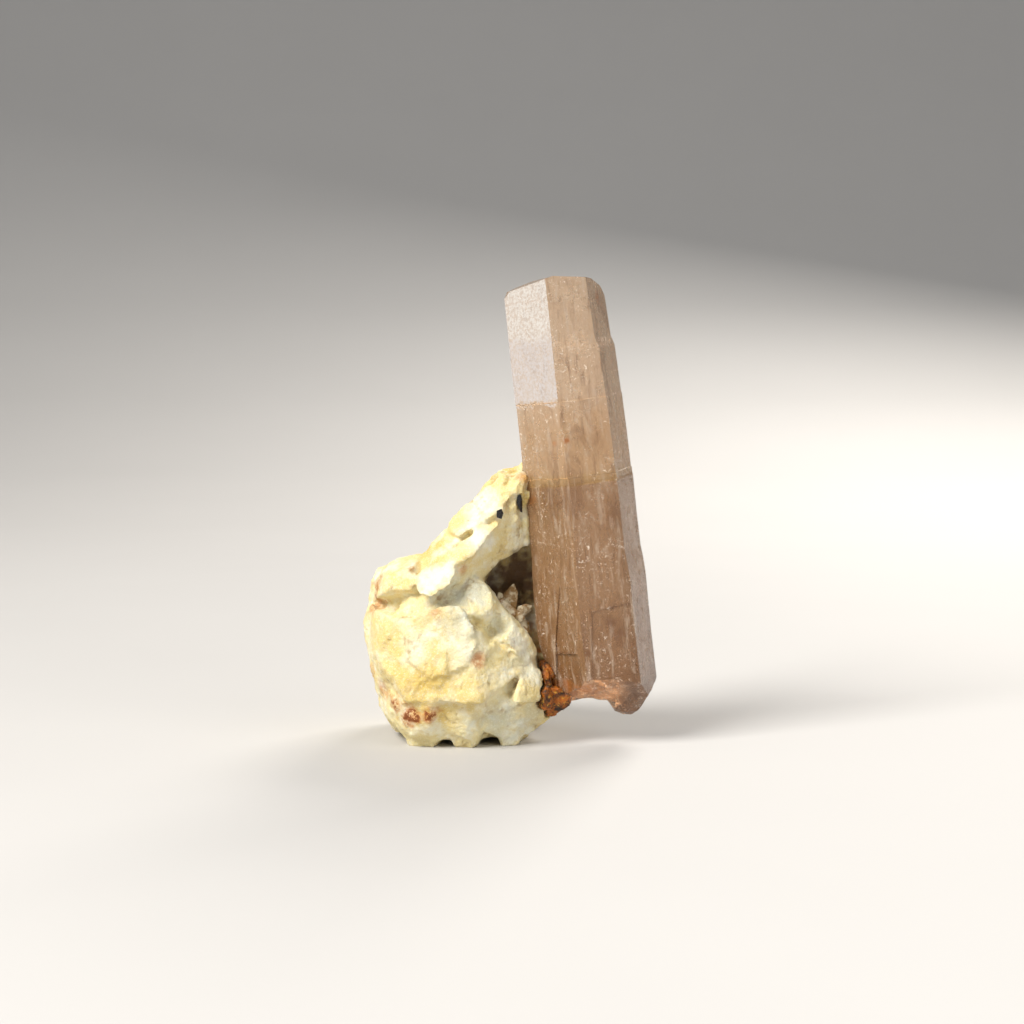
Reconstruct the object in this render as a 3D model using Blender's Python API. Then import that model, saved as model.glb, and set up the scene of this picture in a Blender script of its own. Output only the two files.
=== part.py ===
"""An apatite crystal grown against a lump of feldspar.

Shapes are drawn in millimetres and scaled to metres at the end. X runs to the right, Y to the back and Z up.
The origin is on the ground, at the middle of the outline.
"""

import math

import bmesh
import bpy
from mathutils import Matrix, Vector, noise

MM = 0.001
GAP = 0.3
GRAIN_GAP = 0.12
FLOOR_DEPTH = 6.0

# The crystal is drawn upright about its own axis and then leans to the left.
CRYSTAL_FOOT = Vector((10.3, -1.0, 0.0))
CRYSTAL_LEAN = math.radians(-6.9)
CRYSTAL_TOP = 51.5

# The directions the side faces look in, measured from the front towards the right.
FRONT, RIGHT, BACK_RIGHT, BACK, BACK_LEFT, LEFT = (math.radians(a) for a in (13, 73, 133, 193, 253, 313))
SIDES = (FRONT, RIGHT, BACK_RIGHT, BACK, BACK_LEFT, LEFT)

# Height along the axis, then how far the front, right, back and left faces stand from the axis. Two rows close
# together make a growth step.
CRYSTAL_ROWS = (
    (0.0, 5.90, 5.45, 4.42, 5.46),
    (10.9, 5.90, 5.46, 4.42, 5.46),
    (15.2, 5.88, 5.54, 4.40, 5.41),
    (17.4, 5.88, 5.58, 4.40, 5.33),
    (19.0, 5.86, 5.52, 4.38, 5.24),
    (20.4, 5.86, 5.40, 4.38, 5.12),
    (23.9, 5.86, 5.40, 4.36, 5.03),
    (28.15, 5.86, 5.46, 4.34, 4.96),
    (28.30, 5.74, 5.42, 4.34, 4.88),
    (28.95, 5.74, 5.42, 4.32, 4.88),
    (29.05, 5.80, 5.36, 4.20, 4.94),
    (32.6, 5.78, 5.36, 4.18, 4.88),
    (36.95, 5.76, 5.31, 4.16, 4.84),
    (37.10, 5.66, 5.25, 4.16, 4.90),
    (42.2, 5.66, 5.16, 4.14, 4.84),
    (43.2, 5.66, 4.89, 4.06, 4.82),
    (47.6, 5.66, 4.74, 4.04, 4.76),
    (CRYSTAL_TOP, 5.64, 4.60, 4.02, 4.72),
)

# Flat end faces and bevels: a point on each and the way it looks, in the object's own directions.
TOP_FACES = (
    ((5.2, -1.0, 49.45), (0.015, 0.055, 1.0)),
    ((2.9, -6.6, 49.27), (-0.36, -0.03, 0.93)),
    ((8.7, -0.6, 49.35), (0.62, -0.02, 0.78)),
    ((9.5, -1.0, 48.5), (0.90, -0.05, 0.42)),
    ((4.0, 2.8, 49.2), (-0.10, 0.62, 0.78)),
    ((-0.5, -2.2, 47.9), (-0.86, -0.12, 0.50)),
)
FOOT_FACES = (
    ((2.9, -3.0, 10.6), (-0.950, 0.0, -0.312)),
    ((15.6, 0.0, 6.1), (0.76, 0.05, -0.65)),
)

# A shallow shell-shaped chip near the top, on the front right edge.
CHIP_AT = Vector((9.35, -4.6, 47.9))
CHIP_FACING = Vector((0.72, -0.58, 0.38))
CHIP_RADIUS = 2.3
CHIP_DEPTH = 0.7

# Shallow panels sunk into the lower faces by growth: the face each is in, how far that face stands from the axis,
# how deep the panel goes, and its outline as (distance along the face, height).
PANELS = (
    (LEFT, 5.46, 0.20, ((1.02, 17.5), (3.37, 17.5), (2.33, 11.8), (2.2, 10.5), (-0.6, 10.5), (-0.45, 11.8))),
    (LEFT, 5.46, 0.32, ((-0.66, 10.45), (2.57, 10.45), (3.2, 5.0), (-1.4, 5.0))),
    (FRONT, 5.88, 0.12, ((-1.5, 14.75), (2.75, 15.15), (2.72, 7.6), (-2.4, 7.35))),
)

# The outlines of the lumps that have grown together into the matrix, as the corners of each.
BLOCK_CORE = (
    (-12.8, -7.4, 14.2), (-8.6, -8.6, 13.9), (-4.6, -8.9, 13.3), (-1.2, -7.4, 10.9), (1.3, -6.4, 8.4),
    (-3.4, -9.6, 5.4), (-10.6, -8.8, 5.3), (-13.8, -6.9, 9.0), (-14.9, -4.6, 12.6), (-15.7, -1.0, 12.8),
    (-15.6, -1.5, 10.2), (-14.6, -1.5, 5.0), (-15.2, 0.5, 14.6), (-14.5, -5.2, 14.6), (-15.4, 6.0, 14.6), (-15.2, 8.0, 6.0),
    (-14.6, 10.8, 14.2), (-14.0, 11.6, 5.0), (-5.6, 12.9, 14.2), (-5.0, 13.1, 5.0), (0.6, 11.4, 11.6),
    (1.6, 11.4, 4.6), (1.0, 2.0, 11.5), (-13.6, 11.0, 3.0), (-3.0, 12.6, 3.0), (1.8, 10.6, 3.0),
)
BLOCK_LOW = (
    (-12.8, -6.8, 5.8), (-9.0, -8.2, 5.4), (-3.6, -8.5, 5.2), (-14.3, -1.0, 3.6), (-12.8, -4.8, 2.6),
    (-11.6, -5.4, 1.2), (-8.6, -6.4, 0.8), (-4.6, -6.2, 0.8), (-12.6, 0.5, 1.0), (-14.7, 6.0, 4.0),
    (-13.2, 8.4, 0.8), (-12.6, 11.0, 2.4), (-3.0, 12.3, 2.2), (-3.0, 11.0, 0.9), (2.6, 10.4, 1.2),
    (2.6, 10.8, 4.0), (-1.0, -3.0, 0.7), (1.0, 0.0, 1.2), (2.6, 4.0, 2.4), (-14.4, 2.0, 8.0), (-13.0, 10.8, 8.0),
    (-2.0, 11.6, 8.0), (1.6, 4.0, 8.0),
)
RIGHT_WALL = (
    (-3.2, -4.7, 17.9), (-1.5, -5.2, 15.7), (0.3, -5.3, 13.5), (1.9, -4.5, 11.7), (2.6, -3.8, 10.2),
    (-2.4, -7.8, 14.2), (-0.6, -7.7, 11.8), (1.2, -6.8, 9.0), (3.3, -5.4, 6.2), (-3.2, -1.8, 16.2),
    (-0.4, -1.6, 13.2), (1.8, -1.2, 10.6), (2.8, -1.0, 6.4), (-3.2, -4.0, 12.0),
)
RIGHT_LOW = (
    (2.2, -4.7, 9.3), (3.8, -4.8, 6.4), (4.1, -4.1, 5.2), (3.9, -1.0, 5.0), (2.5, -1.0, 9.4), (0.9, -7.1, 7.6),
    (0.2, -8.2, 5.2), (2.9, -6.2, 5.0), (0.2, 6.0, 9.4), (4.4, 1.6, 8.6), (4.6, 2.4, 5.0), (3.2, 6.0, 5.0),
)
LOBE_RIGHT = (
    (-2.9, -7.6, 4.9), (0.8, -6.7, 4.8), (3.5, -4.7, 5.4), (3.8, -3.4, 2.3), (4.6, -2.8, 3.2), (2.3, -3.8, 1.2),
    (-0.6, -5.4, 0.9), (-1.8, -5.9, 1.3), (-2.9, -6.4, 1.9), (3.4, 3.0, 2.6), (0.4, -2.6, 0.8), (0.0, 3.0, 0.9),
    (-4.0, 3.0, 1.0), (-0.4, -5.6, 7.0), (2.0, -4.4, 6.6), (-3.0, -6.8, 6.6), (2.4, 3.0, 6.4),
)
LOBE_MIDDLE = (
    (-7.0, -7.9, 4.2), (-4.2, -8.3, 4.5), (-3.3, -7.4, 4.1), (-3.4, -6.8, 1.6), (-5.0, -7.3, 1.0),
    (-6.9, -6.8, 1.6), (-5.0, -3.0, 1.0), (-6.6, -4.0, 4.0),
)
LOBE_LEFT = (
    (-12.8, -7.0, 5.4), (-8.4, -8.8, 5.4), (-12.4, -6.2, 2.6), (-11.2, -7.6, 3.2), (-8.6, -8.5, 3.2),
    (-10.8, -6.6, 1.2), (-8.2, -7.2, 1.4), (-7.4, -7.9, 4.4), (-9.0, -2.0, 1.0), (-12.0, -2.0, 2.0),
)
FOOT_FRONT_LEFT = (
    (-11.9, -5.0, 1.8), (-7.6, -6.6, 1.8), (-10.9, -4.9, -0.3), (-8.4, -5.8, -0.3), (-7.8, -3.4, -0.3),
    (-10.6, -2.8, -0.3), (-11.8, -1.6, 1.6), (-7.2, -1.8, 1.6),
)
FOOT_MIDDLE = (
    (-6.8, -7.0, 2.0), (-3.5, -7.3, 2.0), (-6.0, -5.6, -0.3), (-4.2, -6.0, -0.3), (-3.6, -4.4, -0.3),
    (-5.8, -3.6, -0.3), (-6.8, -2.0, 1.6), (-3.0, -2.4, 1.6),
)
FOOT_RIGHT = (
    (-1.5, -5.8, 1.8), (1.0, -5.0, 1.8), (-1.1, -4.9, -0.3), (0.1, -4.7, -0.3), (0.4, -3.2, -0.3),
    (1.8, 2.0, -0.3), (0.2, 2.2, -0.3), (-0.8, -3.0, -0.3), (-1.6, 3.0, 1.6), (2.8, 3.4, 1.9),
)
FOOT_BACK_LEFT = (
    (-13.4, 6.0, 2.2), (-7.6, 6.6, 2.0), (-12.4, 7.2, -0.3), (-9.0, 7.6, -0.3), (-9.4, 10.6, -0.3),
    (-11.8, 10.2, -0.3), (-12.8, 11.4, 2.2), (-8.2, 12.0, 2.2),
)
FOOT_BACK_RIGHT = (
    (-1.0, 6.4, 2.0), (3.6, 6.6, 2.2), (0.2, 7.4, -0.3), (3.0, 7.6, -0.3), (2.9, 9.8, -0.3), (0.4, 10.4, -0.3),
    (-0.8, 11.8, 2.2), (3.4, 11.0, 2.4),
)
SHOULDER = (
    (-14.9, -1.0, 17.1), (-14.2, -1.5, 18.7), (-12.8, -2.0, 19.5), (-11.4, -2.2, 19.7), (-9.8, -2.5, 20.5),
    (-13.5, -6.1, 18.4), (-10.4, -6.7, 19.2), (-13.2, -7.0, 16.8), (-10.5, -7.5, 17.0), (-15.1, -1.0, 15.1),
    (-14.2, -5.6, 16.0), (-14.7, 6.6, 16.6), (-9.5, 8.0, 18.4), (-9.0, 9.4, 14.0), (-13.8, 8.6, 14.4),
    (-8.0, 0.0, 14.0),
)
INSIDE = (
    (-13.6, -4.6, 12.0), (-4.0, -6.0, 12.0), (-13.0, -4.2, 16.6), (-8.0, -5.6, 16.6), (-4.6, -3.6, 17.2),
    (-14.2, 8.0, 13.0), (-13.4, 7.0, 16.6), (-3.0, 9.0, 13.0), (-4.0, 7.0, 18.6), (-2.6, 2.4, 18.4),
    (-9.0, 3.0, 18.6), (-2.6, 2.4, 12.0),
)
FRONT_SWELL = (
    (-10.1, -8.4, 14.9), (-7.5, -8.6, 15.4), (-5.2, -8.6, 15.6), (-4.9, -9.2, 13.3), (-3.4, -9.5, 11.7),
    (-4.4, -9.7, 9.4), (-8.5, -9.5, 7.8), (-11.1, -8.8, 9.9), (-11.6, -8.4, 13.0), (-7.5, -5.0, 11.0),
)
RAISED_BLOCK = (
    (-4.9, -5.2, 17.5), (-3.4, -5.1, 18.1), (-2.3, -5.4, 17.5), (-1.5, -6.0, 15.7), (-2.1, -7.9, 14.5),
    (-4.4, -8.3, 14.7), (-5.0, -7.2, 16.4), (-3.0, -5.0, 12.6),
)
SADDLE = (
    (-9.6, -6.6, 16.2), (-5.0, -6.0, 16.9), (-3.4, -5.0, 17.0), (-9.0, -8.3, 13.6), (-4.6, -8.3, 13.0),
    (-12.4, -6.6, 14.6), (-11.6, -4.0, 16.6), (-4.0, -2.0, 16.4),
)
FIN_LOW = (
    (-9.6, -2.5, 20.5), (-7.1, -2.5, 22.3), (-5.4, -2.5, 24.6), (-9.8, -7.2, 17.2), (-8.6, -7.6, 16.5),
    (-6.3, -7.7, 17.9), (-3.9, -6.4, 20.8), (-6.0, -5.5, 16.4), (-3.2, -4.2, 17.9), (-1.6, -3.3, 19.4),
    (-8.6, 4.4, 18.8), (-4.6, 4.6, 22.4), (-2.0, 3.4, 19.8), (-4.0, 3.0, 15.4), (-9.0, 1.0, 15.0),
)
FIN_HIGH = (
    (-6.9, -2.5, 22.8), (-4.8, -2.5, 25.6), (-3.5, -2.2, 27.0), (-2.2, -1.9, 28.6), (-1.0, -1.6, 29.2),
    (1.4, -1.0, 29.6), (-3.9, -6.4, 20.8), (-2.3, -5.5, 23.0), (-0.6, -4.4, 25.5), (0.4, -3.3, 27.6),
    (-1.6, -3.3, 19.4), (1.4, -2.1, 21.1), (2.6, 0.2, 28.6), (2.4, 1.0, 22.0), (0.6, 2.8, 27.2),
    (-4.0, 3.4, 23.2), (-1.0, 2.8, 20.4),
)
PLATE_HIGH = (
    (-6.9, -3.8, 22.7), (-6.8, -3.0, 24.2), (-5.4, -3.0, 25.2), (-3.6, -2.8, 27.0), (-2.4, -2.8, 28.0),
    (-0.1, -4.1, 27.1), (-0.8, -5.5, 25.1), (-3.4, -5.9, 23.9), (-5.9, -5.9, 22.4), (-3.4, -1.0, 23.0),
)
PLATE_MIDDLE = (
    (-7.1, -5.4, 20.9), (-5.9, -5.8, 21.5), (-3.4, -5.9, 23.3), (-0.9, -5.4, 24.2), (-2.3, -6.4, 22.6),
    (-4.1, -7.4, 20.5), (-5.6, -7.9, 19.7), (-6.8, -7.1, 20.3), (-4.0, -3.0, 20.0),
)
PLATE_LOW = (
    (-10.5, -6.9, 18.1), (-9.2, -6.0, 19.6), (-6.3, -7.0, 20.0), (-5.6, -8.3, 18.9), (-6.5, -9.1, 17.6),
    (-8.6, -9.5, 15.9), (-10.3, -8.6, 16.8), (-8.0, -5.0, 17.4),
)
LOWER_STREAK = (
    (-5.6, -6.6, 18.4), (-2.6, -5.2, 21.6), (0.8, -3.4, 24.8), (1.0, -2.7, 24.0), (-2.0, -4.6, 20.8),
    (-5.2, -6.0, 17.6), (-2.0, -2.0, 21.0),
)
RIBS = (
    (
        (-3.1, -3.5, 26.1), (-2.4, -4.1, 26.0), (-1.1, -2.7, 29.1), (-0.4, -3.5, 28.7), (-1.6, -0.6, 27.4),
        (-1.4, -0.6, 25.6),
    ),
    (
        (-1.4, -4.3, 26.2), (-0.7, -5.0, 25.8), (0.9, -2.5, 29.1), (1.3, -3.4, 28.3), (0.2, -0.6, 27.4),
        (0.0, -0.6, 25.6),
    ),
    (
        (-0.1, -4.4, 25.2), (0.4, -4.0, 24.6), (1.2, -3.4, 27.6), (1.7, -2.7, 26.6), (0.8, -0.6, 26.0),
        (0.4, -0.6, 24.2),
    ),
)
RIB_WEB = ((-2.0, -3.0, 26.4), (-0.2, -3.2, 26.4), (0.7, -2.4, 28.5), (-0.9, -2.4, 28.8), (-0.6, -0.8, 27.0))
BACK_WALL = (
    (-3.6, 1.6, 18.6), (1.6, 0.6, 22.4), (3.2, 1.4, 21.4), (3.6, 1.2, 12.4), (3.4, 1.2, 9.0), (-2.4, 1.4, 13.0),
    (-3.4, 6.4, 19.4), (1.6, 6.0, 20.4), (4.2, 4.2, 19.4), (4.4, 4.6, 10.0), (2.0, 9.0, 13.4), (-3.0, 9.6, 15.4),
    (-2.6, 2.0, 9.0),
)
BACK_LUMP = (
    (-13.0, 9.4, 15.6), (-8.0, 12.0, 15.8), (-3.4, 11.8, 15.8), (-9.6, 6.0, 18.9), (-4.6, 7.0, 20.0),
    (-1.6, 6.6, 18.4), (-10.0, 12.6, 9.0), (-4.0, 13.1, 8.0),
)
BACK_STEP = (
    (-13.2, 11.8, 11.8), (-8.4, 13.6, 12.4), (-4.4, 13.9, 11.0), (-3.8, 13.8, 7.8), (-7.4, 13.8, 6.2),
    (-12.6, 12.4, 6.8), (-12.0, 9.0, 9.0), (-4.0, 9.0, 9.0),
)
LUMPS = (
    BLOCK_CORE, BLOCK_LOW, RIGHT_WALL, RIGHT_LOW, LOBE_RIGHT, LOBE_MIDDLE, LOBE_LEFT, FOOT_FRONT_LEFT, FOOT_MIDDLE,
    FOOT_RIGHT, FOOT_BACK_LEFT, FOOT_BACK_RIGHT, SHOULDER, INSIDE, FRONT_SWELL, RAISED_BLOCK, SADDLE, FIN_LOW,
    FIN_HIGH, PLATE_HIGH, PLATE_MIDDLE, PLATE_LOW, RIB_WEB, LOWER_STREAK, *RIBS, BACK_WALL, BACK_LUMP, BACK_STEP,
)

# The hollow between the blade, the block and the crystal, then the smaller pits, as the corners of the rim on the
# surface and the corners at the bottom.
HOLLOW = (
    ((-3.0, -5.0, 17.9), (2.6, -4.0, 21.3), (3.0, -4.0, 10.3), (-1.4, -5.4, 15.8)),
    ((-2.9, -0.6, 17.9), (1.9, 0.2, 20.4), (2.7, 0.2, 10.6), (-1.5, -0.6, 15.3), (0.6, 1.4, 16.4)),
)
CREVICE = (
    (
        (-3.2, -8.2, 14.6), (-1.3, -6.6, 15.0), (0.1, -5.8, 12.9), (-1.3, -7.4, 11.6), (-2.3, -8.4, 10.9),
        (-3.3, -8.8, 11.9),
    ),
    ((-2.4, -4.5, 11.7), (-2.7, -4.9, 12.4), (-2.2, -6.0, 13.9), (-1.0, -5.9, 13.0)),
)
SIDE_DISH = (
    ((0.2, -7.6, 10.1), (2.1, -6.0, 9.6), (3.1, -5.5, 7.1), (0.9, -7.2, 6.8), (0.0, -7.9, 8.3)),
    ((1.2, -6.1, 8.9), (1.7, -5.9, 7.9)),
)
CORNER_HOLE = (
    ((2.0, -5.4, 9.6), (3.6, -4.6, 9.5), (3.8, -4.6, 8.4), (2.4, -5.4, 8.2)),
    ((2.8, 0.0, 9.2), (3.4, 0.0, 8.7)),
)
LEDGE_RECESS = (
    ((-13.2, -6.6, 16.4), (-10.6, -7.3, 16.8), (-10.3, -7.4, 15.5), (-11.2, -7.8, 14.2), (-13.1, -6.8, 14.6)),
    ((-12.6, -4.9, 15.9), (-11.2, -5.1, 15.7)),
)
SHOULDER_PIT = (
    ((-11.0, -6.4, 19.2), (-10.0, -6.4, 19.3), (-10.2, -6.6, 18.3)),
    ((-10.7, -5.2, 18.6), (-10.3, -5.2, 18.8)),
)
BLOCK_PIT = (
    ((-12.4, -7.4, 13.7), (-11.8, -7.5, 13.6), (-12.0, -7.6, 12.9)),
    ((-12.1, -6.6, 13.3),),
)
UNDER_LEDGE = (
    (
        (-3.8, -9.6, 4.6), (0.9, -8.2, 4.5), (3.2, -6.2, 4.8), (3.0, -5.6, 3.6), (0.6, -7.2, 2.8),
        (-3.6, -8.6, 3.2),
    ),
    ((-3.2, -7.9, 4.4), (1.0, -6.4, 4.3), (2.6, -5.2, 4.3)),
)
LOBE_GAP = (
    ((-3.6, -8.6, 3.6), (-2.9, -8.4, 3.7), (-2.6, -7.2, 1.0), (-3.5, -7.2, 1.0)),
    ((-3.1, -6.4, 2.2),),
)
PITS = (
    HOLLOW, CREVICE, SIDE_DISH, CORNER_HOLE, LEDGE_RECESS, SHOULDER_PIT, BLOCK_PIT, UNDER_LEDGE, LOBE_GAP,
)
FAR_FRONT = -14.0

# Notches that run right through: two under the foot and a dish in the back.
BITE = (
    (-2.9, -12.0, -0.5), (-1.5, -12.0, -0.5), (-2.2, -12.0, 1.5), (-2.9, 6.0, -0.5), (-1.5, 6.0, -0.5),
    (-2.1, 4.0, 0.8),
)
SIDE_BITE = (
    (-7.7, -12.0, -0.5), (-6.5, -12.0, -0.5), (-7.1, -12.0, 1.1), (-7.8, 2.0, -0.5), (-6.6, 2.0, -0.5),
    (-7.2, 0.0, 0.8),
)
BACK_DISH = (
    (-12.4, 16.0, 9.4), (-7.0, 16.0, 10.8), (-6.4, 16.0, 5.0), (-11.0, 16.0, 3.8), (-10.2, 11.4, 7.6),
    (-8.4, 11.6, 6.8),
)
NOTCHES = (BITE, SIDE_BITE, BACK_DISH)

# The small crystals in the hollow: a thin crust on its floor with blades and crumbs standing on it.
CRUST_PATCHES = (
    (
        (-1.7, -2.7, 15.2), (-1.5, 0.3, 15.1), (0.5, -2.6, 12.9), (0.5, 0.3, 12.8), (1.9, -2.1, 11.6),
        (1.9, -0.3, 11.5), (-1.0, -2.4, 15.5), (0.9, -2.3, 13.9), (1.9, -1.6, 12.7), (0.6, -0.6, 13.8),
    ),
    (
        (-1.6, -1.7, 14.8), (0.4, -1.7, 13.4), (0.7, -1.5, 16.0), (0.2, -1.3, 17.1), (-0.7, -1.3, 16.2),
        (-1.2, -0.7, 15.0), (0.3, -0.7, 13.6), (0.4, -0.9, 16.0),
    ),
    (
        (-1.9, -2.3, 15.0), (-1.0, -2.6, 14.8), (-0.9, -2.1, 16.0), (-1.5, -1.9, 16.2), (-1.3, -1.5, 15.0),
    ),
    (
        (0.5, -2.3, 14.6), (1.5, -2.4, 15.1), (2.3, -2.0, 14.8), (2.2, -1.8, 14.2), (1.0, -2.2, 13.4),
        (1.3, -1.2, 13.2),
    ),
    (
        (0.2, -2.8, 13.9), (0.9, -2.9, 14.3), (1.5, -2.6, 13.4), (0.8, -2.7, 12.9), (0.9, -1.8, 12.9),
    ),
)

# The iron oxide that fills the corner under the foot of the crystal.
SEAM_PATCHES = (
    (
        (2.9, -3.3, 8.9), (3.4, -3.9, 8.6), (4.0, -4.6, 7.2), (3.3, -5.0, 6.6), (4.6, -3.0, 7.6), (4.4, -1.5, 7.2),
        (3.2, -1.2, 8.4),
    ),
    (
        (2.9, -5.4, 5.9), (3.5, -6.1, 5.9), (4.3, -5.8, 5.0), (4.1, -5.3, 3.8), (3.2, -5.5, 3.9), (2.7, -5.2, 4.8),
        (4.2, -3.0, 3.8), (3.4, -2.6, 5.8), (4.2, -4.4, 7.0),
    ),
    (
        (4.0, -5.3, 6.3), (5.0, -5.5, 6.4), (6.4, -4.6, 4.5), (5.7, -3.6, 3.9), (4.5, -3.6, 2.9), (3.6, -3.8, 2.9),
        (5.8, -1.0, 4.2), (3.8, -0.6, 5.0),
    ),
)

# The black grains set in the blade.
GRAIN_HIGH = (
    (0.6, -3.9, 26.7), (0.95, -3.8, 26.8), (0.5, -3.7, 25.9), (0.85, -3.6, 24.9), (1.1, -3.4, 24.8),
    (1.1, -3.4, 26.0), (0.8, -3.0, 25.6), (0.9, -3.1, 26.4),
)
GRAIN_LOW = (
    (-1.6, -5.8, 25.2), (-1.1, -5.7, 25.4), (-0.9, -5.5, 24.9), (-1.1, -5.6, 24.3), (-1.6, -5.9, 24.5),
    (-1.3, -4.9, 24.9), (-1.3, -4.9, 24.5),
)

# Name, colour, roughness and how much light passes through.
MATERIALS = {
    "apatite": ((0.52, 0.30, 0.18, 1.0), 0.18, 0.8),
    "feldspar": ((0.72, 0.62, 0.36, 1.0), 0.7, 0.0),
    "iron_oxide": ((0.22, 0.08, 0.02, 1.0), 0.75, 0.0),
    "vug_feldspar": ((0.66, 0.56, 0.38, 1.0), 0.5, 0.0),
    "schorl": ((0.01, 0.01, 0.01, 1.0), 0.3, 0.0),
}


def clear_scene():
    for old in list(bpy.data.objects):
        bpy.data.objects.remove(old)


def make_object(name, shape):
    """Turn a finished shape into an object with triangle faces."""
    bmesh.ops.triangulate(shape, faces=shape.faces)
    bmesh.ops.recalc_face_normals(shape, faces=shape.faces)
    mesh = bpy.data.meshes.new(name)
    shape.to_mesh(mesh)
    shape.free()
    result = bpy.data.objects.new(name, mesh)
    bpy.context.scene.collection.objects.link(result)
    return result


def apply_modifiers(thing):
    graph = bpy.context.evaluated_depsgraph_get()
    finished = bpy.data.meshes.new_from_object(thing.evaluated_get(graph))
    thing.modifiers.clear()
    thing.data = finished


def discard(thing):
    bpy.data.objects.remove(thing)


def cut(thing, cutter, overlapping=False):
    """Take the cutter's shape away from the thing, and the cutter out of the scene."""
    cutter.hide_render = True
    cutter.display_type = "WIRE"
    step = thing.modifiers.new("cut", "BOOLEAN")
    step.operation = "DIFFERENCE"
    step.solver = "EXACT"
    step.use_self = overlapping
    step.object = cutter
    apply_modifiers(thing)
    discard(cutter)


def remesh(thing, size):
    step = thing.modifiers.new("merge", "REMESH")
    step.mode = "VOXEL"
    step.voxel_size = size
    step.adaptivity = 0.0
    apply_modifiers(thing)


def reduce_to(thing, triangles):
    """Thin the mesh out to about this many triangles, keeping its edges where it bends most."""
    now = sum(len(face.vertices) - 2 for face in thing.data.polygons)
    step = thing.modifiers.new("thin", "DECIMATE")
    step.ratio = min(1.0, triangles / now)
    step.use_collapse_triangulate = True
    apply_modifiers(thing)


def add_hull(shape, corners, grow=0.0):
    """Add the tight skin round these corners, moved outwards by the amount to grow."""
    points = [shape.verts.new(corner) for corner in corners]
    made = bmesh.ops.convex_hull(shape, input=points)
    inside = [item for item in made["geom_interior"] if isinstance(item, bmesh.types.BMVert)]
    bmesh.ops.delete(shape, geom=inside, context="VERTS")
    skin = [point for point in points if point.is_valid]
    faces = list({face for point in skin for face in point.link_faces})
    bmesh.ops.recalc_face_normals(shape, faces=faces)
    if grow:
        moves = [(point, point.normal * grow * point.calc_shell_factor()) for point in skin]
        for point, move in moves:
            point.co += move


def hull_object(name, groups, grow=0.0):
    shape = bmesh.new()
    for corners in groups:
        add_hull(shape, corners, grow)
    return make_object(name, shape)


def facet_field(point, size, seed):
    """A bent-plate pattern: each cell is a flat facet with its own tilt, and facets meet in sharp valleys."""
    spot = point / size + Vector((seed, seed * 1.7, seed * 0.6))
    centres = noise.voronoi(spot)[1]
    heights = []
    for centre in centres[:3]:
        tilt = noise.cell_vector(centre) * 2.0 - Vector((1.0, 1.0, 1.0))
        heights.append((spot - centre).dot(tilt) + 0.4 * tilt.x)
    return max(heights)


def roughen(thing, layers):
    """Push every point in or out along its normal by layers of (facet size, height, seed)."""
    shape = bmesh.new()
    shape.from_mesh(thing.data)
    moves = []
    for point in shape.verts:
        push = sum(height * (facet_field(point.co, size, seed) - 0.35) for size, height, seed in layers)
        moves.append((point, point.normal * push))
    for point, move in moves:
        point.co += move
    shape.to_mesh(thing.data)
    shape.free()


def keep_largest(thing):
    """Drop the crumbs that cutting leaves behind."""
    shape = bmesh.new()
    shape.from_mesh(thing.data)
    left = set(shape.verts)
    bodies = []
    while left:
        body = set()
        edge_of_search = [left.pop()]
        while edge_of_search:
            point = edge_of_search.pop()
            body.add(point)
            near = {edge.other_vert(point) for edge in point.link_edges} & left
            left -= near
            edge_of_search.extend(near)
        bodies.append(body)
    bodies.sort(key=len)
    crumbs = [point for body in bodies[:-1] for point in body]
    bmesh.ops.delete(shape, geom=crumbs, context="VERTS")
    shape.to_mesh(thing.data)
    shape.free()


def outward(facing):
    """The sideways direction of a face from its angle off the front."""
    return Vector((math.sin(facing), -math.cos(facing), 0.0))


def ring_corners(distances):
    """The corners where neighbouring side faces meet."""
    corners = []
    for here in range(len(SIDES)):
        there = (here + 1) % len(SIDES)
        first, second = outward(SIDES[here]), outward(SIDES[there])
        across = first.x * second.y - first.y * second.x
        x = (distances[here] * second.y - distances[there] * first.y) / across
        y = (first.x * distances[there] - second.x * distances[here]) / across
        corners.append((x, y))
    return corners


def slice_off(shape, point, facing):
    """Cut the shape with a flat face and close it again."""
    everything = list(shape.verts) + list(shape.edges) + list(shape.faces)
    bmesh.ops.bisect_plane(shape, geom=everything, plane_co=point, plane_no=facing, clear_outer=True, dist=1e-5)
    rim = [edge for edge in shape.edges if edge.is_boundary]
    if rim:
        bmesh.ops.holes_fill(shape, edges=rim)


def crystal_prism(grow):
    """The stepped six-sided prism with its end faces, upright about its own axis."""
    shape = bmesh.new()
    rings = []
    for height, front, right, back, left in CRYSTAL_ROWS:
        distances = [distance + grow for distance in (front, right, right, back, left, left)]
        rings.append([shape.verts.new((x, y, height)) for x, y in ring_corners(distances)])
    for lower, upper in zip(rings, rings[1:]):
        for here in range(len(lower)):
            there = (here + 1) % len(lower)
            shape.faces.new((lower[here], lower[there], upper[there], upper[here]))
    shape.faces.new(rings[0][::-1])
    shape.faces.new(rings[-1])
    bmesh.ops.recalc_face_normals(shape, faces=shape.faces)
    upright = crystal_placing().inverted()
    turn = upright.to_3x3()
    for point, facing in TOP_FACES + FOOT_FACES:
        direction = Vector(facing).normalized()
        slice_off(shape, upright @ (Vector(point) + direction * grow), turn @ direction)
    return shape


def crystal_placing():
    return Matrix.Translation(CRYSTAL_FOOT) @ Matrix.Rotation(CRYSTAL_LEAN, 4, "Y")


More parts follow.
